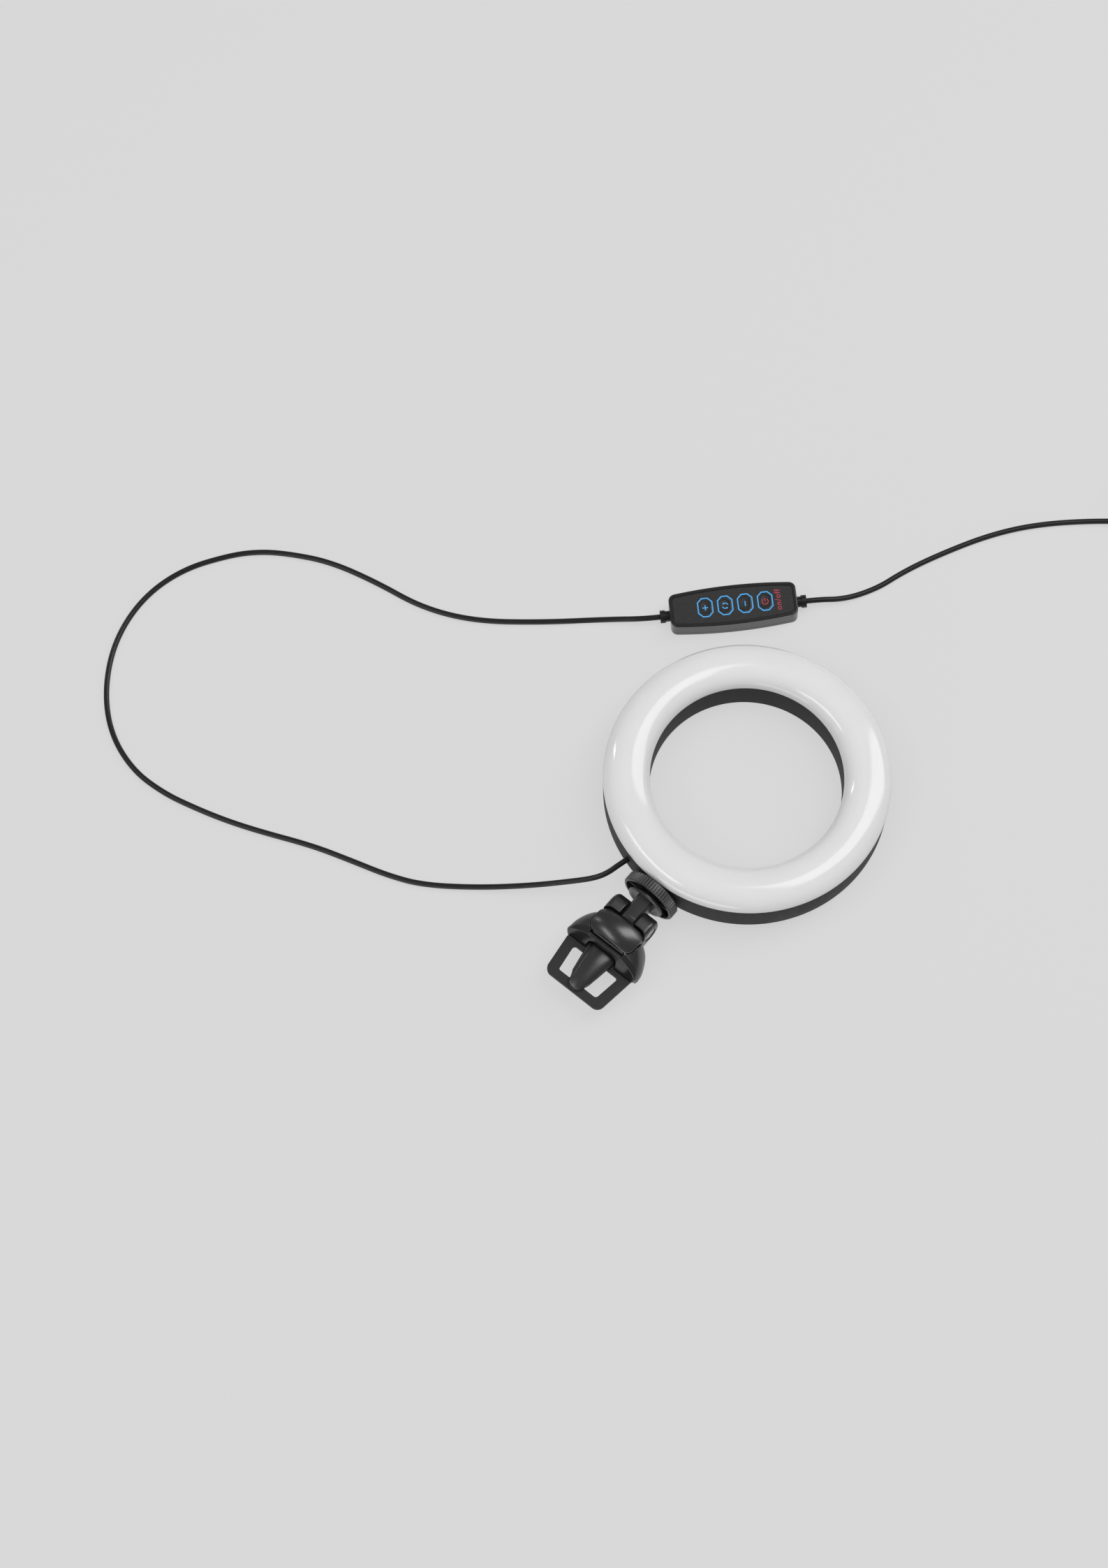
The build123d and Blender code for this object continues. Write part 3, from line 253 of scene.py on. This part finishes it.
def coil_turns():
    """Control points of the coil: two turns inwards below, a climb, and outwards again on top."""
    points = []
    per_turn = 16
    turns = 4.25
    swell = 1 / math.cos(math.pi / per_turn)
    half_turns_in = 4
    for i in range(int(per_turn * turns) + 1):
        half_turns = 2 * i / per_turn
        if half_turns <= half_turns_in:
            radius = coil_radius - coil_step * half_turns
            height = coil_low
        elif half_turns <= half_turns_in + 1:
            radius = coil_radius - coil_step * half_turns_in
            height = coil_low + (coil_high - coil_low) * (half_turns - half_turns_in)
        else:
            radius = coil_radius - coil_step * (2 * half_turns_in + 1 - half_turns)
            height = coil_high
        turn = math.pi * half_turns - math.pi / 2
        reach = radius * swell
        points.append(coil_point(reach * math.cos(turn), reach * math.sin(turn), height))
    return points


plug_height = 4.0
plug_place = (coil_place @ Matrix.Translation(((coil_end + 6.0) / 1000, 0.043, 0))
              @ Matrix.Rotation(math.radians(66), 4, "Z"))


def plug_point(along, height):
    """A point on the plug's middle line, in millimetres."""
    return tuple((plug_place @ (Vector((along, 0, height)) / 1000)) * 1000)


tail_route = [
    remote_point(collar_end, cord_height), remote_point(49.8, cord_height),
    (-30.5, 160.3, 3.6), (-23.8, 169.6, 2.3), (-17.6, 181.8, lie), (-13.8, 194.0, lie),
    (-8.6, 207.0, lie), (-0.6, 223.5, lie), (9.4, 241.8, lie), (21.0, 258.5, lie),
    (34.5, 273.4, lie), (50.0, 287.4, lie), (62.0, 296.5, coil_low),
    coil_point(-12.2, -coil_radius, coil_low),
]
tail_route += coil_turns()
tail_route += [
    coil_point(coil_end, 13.2, coil_high), coil_point(coil_end + 0.8, 23.2, 5.6),
    plug_point(-9.0, plug_height), plug_point(0, plug_height),
]
tail = laid_cord("tail", tail_route, cord_radius)

cord_skin = Finish("cord PVC", (0.012, 0.012, 0.013), 0.32, specular_ior_level=0.5)
cord_grain = cord_skin.grain(0.0007)
cord_skin.set("Roughness", 0.26 + 0.14 * cord_grain)
cord_skin.relief(cord_grain, 0.00003)
for piece, nodes in ((lead, ["cord_lead"]), (tail, ["cord_tail", "cord_coil", "cord_end"])):
    cord_skin.cover(piece)
    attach(piece, "ring_head")
    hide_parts(*nodes)


# Floor and studio light: a pale table, partly a plain glow to the camera so that it looks even, under
# a broad lamp that no gloss mirrors. A long softbox, two strips and a low lamp give the streaks on the
# milky cap and the bright edges of the black pieces.

floor_side = 80
floor_drop = 0.0002           # below the plane that the light lies on
glow_share = 0.8
glow_tone = 0.71
bpy.ops.object.select_all(action="DESELECT")
bpy.ops.mesh.primitive_plane_add(size=floor_side, location=(0, 0, -floor_drop))
floor = bpy.context.object
floor.name = "floor"
table = Finish("table", (0.72, 0.72, 0.72), 0.9)
by_camera, by_gloss, by_glass = [
    table.node("ShaderNodeLightPath", output=name)
    for name in ("Is Camera Ray", "Is Glossy Ray", "Is Transmission Ray")
]
seen = glow_share * (by_camera + by_gloss + by_glass)
glow = table.node("ShaderNodeEmission", None, {"Color": (glow_tone,) * 3, "Strength": 1.0})
lit = Signal(table, table.shader.outputs["BSDF"])
mixed = table.node("ShaderNodeMixShader", None, {0: seen, 1: lit, 2: glow})
table.put(table.material.node_tree.nodes["Material Output"].inputs["Surface"], mixed)
table.cover(floor)

scene = bpy.context.scene
scene.view_settings.view_transform = "Standard"
world = bpy.data.worlds.new("studio")
world.use_nodes = True
room = world.node_tree.nodes["Background"]
room.inputs["Color"].default_value = (1, 1, 1, 1)
room.inputs["Strength"].default_value = 0.17
scene.world = world
lit_spot = Vector((0, 0.03, 0))


def lamp(name, place, size, power):
    """A soft rectangular lamp at a place in metres, facing the ring's middle."""
    data = bpy.data.lights.new(name, "AREA")
    data.shape = "RECTANGLE"
    data.size, data.size_y = size
    data.energy = power
    piece = bpy.data.objects.new(name, data)
    scene.collection.objects.link(piece)
    piece.location = place
    piece.rotation_euler = (lit_spot - Vector(place)).to_track_quat("-Z", "Y").to_euler()
    return piece


top = lamp("top light", (0, 0, 2.2), (2.2, 2.2), 22)
top.visible_glossy = False
lamp("long softbox", (0.41, 1.05, 1.3), (0.8, 1.9), 12)
lamp("front strip", (-0.55, -0.95, 1.4), (1.1, 0.3), 3.6)
lamp("side strip", (-1.35, 0.0, 0.85), (0.08, 0.3), 0.7)
lamp("low fill", (0.4, -1.8, 0.32), (1.6, 0.5), 6)


# Diffuser: the milky acrylic cap of the ring, half an ellipse in section, 1.8 mm thick and glossy.
# It is half a torus squashed to 8.5 mm, with the wall grown inwards.

ring_mid = 0.066925
cap_half = 0.013075
cap_rise = 0.0085
cap_wall = 0.0018
shell_depth = 0.020           # the cap stands on the shell's front edges
bpy.ops.object.select_all(action="DESELECT")
bpy.ops.mesh.primitive_torus_add(
    major_radius=ring_mid, minor_radius=cap_half, major_segments=256, minor_segments=64)
cap = bpy.context.object
cap.name = "diffuser_cap"
bpy.ops.object.mode_set(mode="EDIT")
bpy.ops.mesh.select_all(action="SELECT")
bpy.ops.mesh.bisect(plane_co=(0, 0, 0.00001), plane_no=(0, 0, 1), clear_inner=True)
bpy.ops.mesh.select_all(action="SELECT")
bpy.ops.transform.resize(value=(1, 1, cap_rise / cap_half), center_override=(0, 0, 0))
bpy.ops.object.mode_set(mode="OBJECT")
wall = cap.modifiers.new("wall", "SOLIDIFY")
wall.thickness = cap_wall
wall.offset = -1
bpy.ops.object.modifier_apply(modifier=wall.name)


def smooth(piece, angle):
    """Shades a piece smooth, except over edges sharper than the angle in degrees."""
    choose(piece)
    bpy.ops.object.shade_smooth_by_angle(angle=math.radians(angle))


def placed(piece, place):
    """Moves a finished piece to its place and leaves its object at the origin."""
    piece.data.transform(place)
    return piece


smooth(cap, 40)
placed(cap, ring_place @ Matrix.Translation((0, 0, shell_depth)))
milk = Finish("milky acrylic", (0.85, 0.85, 0.85), 0.12, coat_weight=0.3, coat_roughness=0.05)
cloud = milk.grain(0.03, 2.0)
milk.set("Base Color", milk.blend(cloud, (0.82, 0.82, 0.82), (0.87, 0.87, 0.87)))
milk.cover(cap)
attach(cap, "ring_head")
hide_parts("diffuser")


# Back shell: a moulded ABS channel with a fine matt texture and softly rounded edges. It holds the
# stud's pad and the housings behind the cap.

weld = 0.000002               # vertices closer than this are one
flat = math.radians(0.5)      # faces that meet at less than this are one
sharp = math.radians(35)      # edges that turn by more than this are rounded


def welded(node):
    """A copy of a CAD piece with its loose triangles joined, in edit mode and selected all over."""
    piece = bpy.data.objects.new(node + "_moulded", cad[node].data.copy())
    scene.collection.objects.link(piece)
    choose(piece)
    bpy.ops.object.mode_set(mode="EDIT")
    bpy.ops.mesh.select_all(action="SELECT")
    bpy.ops.mesh.remove_doubles(threshold=weld)
    return piece


def rounded(node, width, body, segments=3):
    """A CAD piece with its triangles joined into faces and its sharp edges rounded, in metres."""
    piece = welded(node)
    bpy.ops.mesh.dissolve_limited(angle_limit=flat)
    bpy.ops.mesh.normals_make_consistent(inside=False)
    bpy.ops.object.mode_set(mode="OBJECT")
    if width:
        edge = piece.modifiers.new("edge", "BEVEL")
        edge.width = width
        edge.segments = segments
        edge.limit_method = "ANGLE"
        edge.angle_limit = sharp
        bpy.ops.object.modifier_apply(modifier=edge.name)
    smooth(piece, 30)
    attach(piece, body)
    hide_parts(node)
    return piece


shell = rounded("back_shell", 0.0003, "ring_head")
shell_skin = Finish("textured ABS", (0.02, 0.02, 0.021), 0.65, specular_ior_level=0.35)
shell_grain = shell_skin.grain(0.00045, 4.0)
shell_skin.set("Base Color", shell_skin.blend(
    shell_grain, (0.006, 0.006, 0.006), (0.036, 0.036, 0.037)))
shell_skin.set("Roughness", 0.55 + 0.2 * shell_grain)
shell_skin.relief(shell_grain, 0.00012)
shell_skin.cover(shell)


# Inside the ring: a white circuit board with its lamps and a turned brass insert for the stud. The
# plated steel of the stud and the screws is mixed here too, and covers the other steel pieces.

board_skin = Finish("white solder mask", (0.8, 0.8, 0.78), 0.4)
board_skin.set("Base Color", board_skin.blend(
    board_skin.grain(0.002), (0.78, 0.78, 0.75), (0.83, 0.83, 0.81)))
board_skin.cover(cad["led_board"])
lamp_skin = Finish("phosphor", (0.9, 0.84, 0.45), 0.3)
lamp_skin.set("Base Color", lamp_skin.blend(
    lamp_skin.grain(0.001), (0.88, 0.8, 0.36), (0.92, 0.87, 0.5)))
lamp_skin.cover(cad["leds"])
brass = Finish("turned brass", (0.78, 0.6, 0.28), 0.35, metallic=1.0)
brass.set("Roughness", 0.28 + 0.2 * brass.grain(0.0005))
brass.cover(cad["threaded_insert"])
steel = Finish("plated steel", (0.56, 0.56, 0.57), 0.3, metallic=1.0)
steel.set("Roughness", 0.24 + 0.2 * steel.grain(0.0006))
steel.cover(cad["back_screws"], cad["stud"], cad["clip_screws"], cad["pivot_pin"],
            cad["remote_screws"])


# Lock wheel and washer: a black wheel with sixty moulded ribs, thin spokes round its hub, and a thin
# washer behind it. The ribs' colour is painted lighter on their crests and darker in their grooves, by
# their distance from the wheel's axis: a painted highlight on the crests and painted shade in the
# grooves.

wheel_crest = 0.01665
wheel_groove = 0.0161
wheel_middle = (0, -0.043776, 0.016538)
stud_up = (0, 0.059868, 0.998206)       # square to the stud's axis, leaning with the ring
wheel = rounded("thumbwheel", 0.00012, "wheel", 2)
washer = rounded("wheel_washer", 0.0001, "wheel_carrier", 2)
wheel_skin = Finish("ribbed ABS", (0.035, 0.035, 0.035), 0.34, specular_ior_level=0.9)
wheel_skin.set("Roughness", 0.28 + 0.14 * wheel_skin.grain(0.0006))
spot = wheel_skin.node("ShaderNodeTexCoord", output="Object")
across, along, up = [
    wheel_skin.node("ShaderNodeSeparateXYZ", None, {"Vector": spot}, output=name)
    for name in ("X", "Y", "Z")
]
rise = stud_up[1] * (along - wheel_middle[1]) + stud_up[2] * (up - wheel_middle[2])
from_axis = (across * across + rise * rise) ** 0.5
# painted highlight on the rib crests and painted shade in the grooves, by distance from the wheel's
# axis
painted_rib_light = wheel_skin.node("ShaderNodeMapRange", {"clamp": True}, {
    "Value": from_axis, "From Min": wheel_groove, "From Max": wheel_crest})
wheel_skin.set("Base Color", wheel_skin.blend(painted_rib_light, (0.008, 0.008, 0.008), (0.075, 0.075, 0.076)))
wheel_skin.cover(wheel)
steel.cover(washer)


# Neck: a round flange with a dished face and a chamfered tongue that ends in the tilt knuckle,
# moulded round the steel stud. Its glossy black ABS is the clip's as well.

neck = rounded("hinge_tongue", 0.00025, "neck")
clip_skin = Finish("clip ABS", (0.014, 0.014, 0.015), 0.32, specular_ior_level=0.9, ior=1.6)
clip_grain = clip_skin.grain(0.0003, 4.0)
clip_skin.set("Base Color", clip_skin.blend(
    clip_grain, (0.006, 0.006, 0.006), (0.024, 0.024, 0.025)))
clip_skin.set("Roughness", 0.25 + 0.16 * clip_grain)
clip_skin.relief(clip_grain, 0.000015)
clip_skin.cover(neck)


# Clip housing and visor: a bell-shaped moulding with two ears round the knuckle, and a separate
# semi-gloss visor over its slanted mouth. All their edges are soft, as they leave the mould.

def softened(node, square, body, passes=6):
    """A CAD piece whose skin is laid again in small even squares and smoothed over, in metres."""
    piece = welded(node)
    bpy.ops.object.mode_set(mode="OBJECT")
    skin = piece.modifiers.new("skin", "REMESH")
    skin.mode = "VOXEL"
    skin.voxel_size = square
    soften = piece.modifiers.new("soften", "SMOOTH")
    soften.factor = 0.5
    soften.iterations = passes
    thin = piece.modifiers.new("thin", "DECIMATE")
    thin.ratio = 0.5
    for name in ("skin", "soften", "thin"):
        bpy.ops.object.modifier_apply(modifier=name)
    bpy.ops.object.shade_smooth()
    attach(piece, body)
    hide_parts(node)
    return piece


housing = softened("clip_housing", 0.00028, "clip")
visor = softened("front_visor", 0.00022, "clip")
clip_skin.cover(housing)
visor_skin = Finish("semi-gloss ABS", (0.014, 0.014, 0.015), 0.2, specular_ior_level=0.9)
visor_skin.set("Roughness", 0.16 + 0.12 * visor_skin.grain(0.0008))
visor_skin.cover(visor)


# Tilt bolt and nut: a cap screw with a hexagonal recess on one side and its nut on the other, both
# let into the ears.

bolt = rounded("tilt_bolt", 0.00015, "clip", 2)
nut = rounded("tilt_nut", 0.00015, "clip", 2)
steel.cover(bolt, nut)


# Clamp plate: a flat matt ABS plate under the housing, with a window in its middle and a thin rubber
# facing round the window.

plate = rounded("jaw_plate", 0.0006, "clip", 4)
facing = rounded("plate_grip", 0.0002, "clip", 2)
plate_skin = Finish("matt ABS", (0.035, 0.035, 0.035), 0.6)
plate_grain = plate_skin.grain(0.00045, 4.0)
plate_skin.set("Base Color", plate_skin.blend(
    plate_grain, (0.016, 0.016, 0.016), (0.056, 0.056, 0.056)))
plate_skin.set("Roughness", 0.52 + 0.18 * plate_grain)
plate_skin.relief(plate_grain, 0.00008)
plate_skin.cover(plate)
rubber = Finish("rubber", (0.03, 0.03, 0.03), 0.75)
rubber_grain = rubber.grain(0.0003)
rubber.set("Roughness", 0.68 + 0.2 * rubber_grain)
rubber.relief(rubber_grain, 0.00004)
rubber.cover(facing)


# Jaw: a narrow sprung tongue with a crowned back, a satin thumb pad that opens it, a rubber strip
# under its tip, and the steel spring, which stands on the plate and shortens under the lever.

tongue = softened("front_jaw", 0.00024, "jaw", 36)
thumb = softened("thumb_pad", 0.00022, "jaw", 12)
jaw_facing = rounded("jaw_grip", 0.0002, "jaw", 2)
clip_skin.cover(tongue)
pad_skin = Finish("satin pad", (0.012, 0.012, 0.013), 0.28, specular_ior_level=1.0, ior=1.65)
pad_grain = pad_skin.grain(0.0003, 4.0)
pad_skin.set("Roughness", 0.22 + 0.14 * pad_grain)
pad_skin.relief(pad_grain, 0.000012)
pad_skin.cover(thumb)
rubber.cover(jaw_facing)
spring = rounded("jaw_spring", 0, "clip")
steel.cover(spring)
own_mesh(spring)


# Remote: a slim box in two halves with a glossy rim round a textured face. A tapered collar guards the
# cord at each end, and a green board with four switches is inside.

remote_parts = ("bottom", "top", "face", "board", "screws")
remote = {name: cad["remote_" + name] for name in remote_parts}
collars = cad["strain_reliefs"]
gloss = Finish("glossy ABS", (0.018, 0.018, 0.019), 0.14, specular_ior_level=0.8)
gloss.set("Roughness", 0.1 + 0.1 * gloss.grain(0.001))
gloss.cover(remote["top"], remote["bottom"])
face_skin = Finish("textured face", (0.03, 0.03, 0.031), 0.55, specular_ior_level=0.35)
face_grain = face_skin.grain(0.00045, 4.0)
face_skin.set("Base Color", face_skin.blend(
    face_grain, (0.002, 0.002, 0.002), (0.06, 0.06, 0.062)))
face_skin.relief(face_grain, 0.00008)
face_skin.cover(remote["face"])
cord_skin.cover(collars)
green = Finish("green solder mask", (0.02, 0.2, 0.08), 0.35)
green.set("Base Color", green.blend(
    green.grain(0.002), (0.015, 0.17, 0.07), (0.03, 0.24, 0.1)))
green.cover(remote["board"])
switch_skin = Finish("moulded grey", (0.3, 0.3, 0.31), 0.45)
switch_skin.set("Roughness", 0.38 + 0.2 * switch_skin.grain(0.0005))
switch_skin.cover(cad["key_switches"])


# Keys: four black octagonal buttons with a shallow dish, each with a printed icon, and a blue outline
# printed round each on the face. Red lettering beside the last says what it does.

key_spots = {"key_brighter": -0.016, "key_mode": -0.0046, "key_dimmer": 0.0068,
             "key_power": 0.0182}
face_height = 0.012
dish_height = 0.0115
print_height = 0.00004
blue = Finish("blue print", (0.09, 0.42, 0.85), 0.5)
blue.set("Roughness", 0.42 + 0.2 * blue.grain(0.0004))
red = Finish("red print", (0.5, 0.05, 0.08), 0.5)
red.set("Roughness", 0.42 + 0.2 * red.grain(0.0004))
key_skin = Finish("key ABS", (0.03, 0.03, 0.031), 0.22)
key_skin.set("Roughness", 0.18 + 0.14 * key_skin.grain(0.0006))


def printed(name, shapes):
    """A thin print on the plane, of outlines in millimetres; a pair of outlines is one with a hole."""
    build = bmesh.new()
    for shape in shapes:
        outline, hole = shape if len(shape) == 2 else (shape, None)
        outer = [build.verts.new((x / 1000, y / 1000, 0)) for x, y in outline]
        if hole:
            inner = [build.verts.new((x / 1000, y / 1000, 0)) for x, y in hole]
            for i in range(len(outer)):
                j = (i + 1) % len(outer)
                build.faces.new((outer[i], outer[j], inner[j], inner[i]))
        else:
            build.faces.new(outer)
    grown = bmesh.ops.extrude_face_region(build, geom=build.faces[:])
    risen = [item for item in grown["geom"] if isinstance(item, bmesh.types.BMVert)]
    bmesh.ops.translate(build, verts=risen, vec=(0, 0, print_height))
    bmesh.ops.recalc_face_normals(build, faces=build.faces[:])
    mesh = bpy.data.meshes.new(name)
    build.to_mesh(mesh)
    build.free()
    piece = bpy.data.objects.new(name, mesh)
    scene.collection.objects.link(piece)
    return piece


def octagon(length, width, cut):
    """The corners of an oblong with its corners cut off, in millimetres."""
    x, y = length / 2, width / 2
    return [(x, y - cut), (x - cut, y), (cut - x, y), (-x, y - cut),
            (-x, cut - y), (cut - x, -y), (x - cut, -y), (x, cut - y)]


def bar(length, width, turn=0.0, shift=(0.0, 0.0)):
    """The corners of a bar through a point, turned by an angle in degrees."""
    c, s = math.cos(math.radians(turn)), math.sin(math.radians(turn))
    corners = [(length / 2, width / 2), (-length / 2, width / 2),
               (-length / 2, -width / 2), (length / 2, -width / 2)]
    return [(shift[0] + x * c - y * s, shift[1] + x * s + y * c) for x, y in corners]


def arc(radius, start, end):
    """Points along an arc, from one angle to another in degrees."""
    steps = 24
    turns = [math.radians(start + (end - start) * i / steps) for i in range(steps + 1)]
    return [(radius * math.cos(turn), radius * math.sin(turn)) for turn in turns]


def arc_band(radius, width, start, end):
    """The outline of a band along an arc, out on its outer edge and back on its inner one."""
    return arc(radius + width / 2, start, end) + arc(radius - width / 2, start, end)[::-1]


def arrow_head(radius, turn):
    """A triangle 1 mm long at an angle on an arc, which points along it anticlockwise."""
    half_width = 0.7
    c, s = math.cos(math.radians(turn)), math.sin(math.radians(turn))
    tip = (radius * c - s, radius * s + c)
    return [tip, ((radius - half_width) * c, (radius - half_width) * s),
            ((radius + half_width) * c, (radius + half_width) * s)]


stroke = 0.62                 # width of the plus and minus signs, in millimetres
arrow_reach = 1.6             # of the mode key's two arrows, from the key's middle
prints = {
    "key_brighter": [bar(3.3, stroke), bar(1.34, stroke, 90, (0, 0.98)),
                     bar(1.34, stroke, 90, (0, -0.98))],
    "key_mode": [arc_band(arrow_reach, 0.6, 15, 115), arrow_head(arrow_reach, 115),
                 arc_band(arrow_reach, 0.6, 195, 295), arrow_head(arrow_reach, 295)],
    "key_dimmer": [bar(3.0, stroke, 90)],
    "key_power": [arc_band(1.75, 0.5, 125, 415), bar(2.0, 0.5, 90, (0, 1.0))],
}
for node, along in key_spots.items():
    button = node.removeprefix("key_") + "_button"
    key = rounded(node, 0.00025, button)
    key_skin.cover(key)
    mark = printed(node + "_mark", prints[node])
    placed(mark, remote_place @ Matrix.Translation((along, 0, dish_height)))
    ink = red if node == "key_power" else blue
    ink.cover(mark)
    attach(mark, button)


def shifted(outline, along):
    """The outline moved along the remote, in millimetres."""
    return [(x + along, y) for x, y in outline]


outside = octagon(8.9, 11.9, 2.6)
inside = octagon(7.4, 10.4, 2.17)
borders = [(shifted(outside, 1000 * along), shifted(inside, 1000 * along))
           for along in key_spots.values()]
outlines = printed("key_outlines", borders)
placed(outlines, remote_place @ Matrix.Translation((0, 0, face_height)))
blue.cover(outlines)
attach(outlines, "ring_head")

letter_spot = 0.0257
letter_depth = 0.00002        # to each side of the letters' middle plane
bpy.ops.object.select_all(action="DESELECT")
bpy.ops.object.text_add()
lettering = bpy.context.object
lettering.name = "on_off_lettering"
lettering.data.body = "on/off"
lettering.data.size = 0.0046
lettering.data.align_x = "CENTER"
lettering.data.align_y = "CENTER"
lettering.data.extrude = letter_depth
lettering.data.offset = 0.00004
lettering.data.space_character = 1.15
choose(lettering)
bpy.ops.object.convert(target="MESH")
placed(lettering, remote_place
       @ Matrix.Translation((letter_spot, 0, face_height + letter_depth))
       @ Matrix.Rotation(math.radians(90), 4, "Z"))
red.cover(lettering)
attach(lettering, "ring_head")


# Plug and tie: a moulded grip on a steel sleeve with a white tongue and gold contacts, and a moulded
# nylon band that keeps the coil together.

plug_grip = rounded("plug_body", 0.0003, "ring_head")
sleeve = rounded("plug_shell", 0.00008, "ring_head", 2)
tie = rounded("cable_tie", 0.00015, "ring_head", 2)
tie_skin = Finish("moulded nylon", (0.022, 0.022, 0.022), 0.45)
tie_skin.set("Roughness", 0.38 + 0.18 * tie_skin.grain(0.0005))
tie_skin.cover(plug_grip, tie)
steel.cover(sleeve)
gold = Finish("gold plate", (0.85, 0.68, 0.3), 0.28, metallic=1.0)
gold.set("Roughness", 0.22 + 0.16 * gold.grain(0.0005))
gold.cover(cad["plug_contacts"])
white = Finish("white insulator", (0.75, 0.75, 0.75), 0.45)
white.set("Roughness", 0.4 + 0.16 * white.grain(0.0006))
white.cover(cad["plug_tongue"])
tie_skin.cover(cad["cord_clamp"])
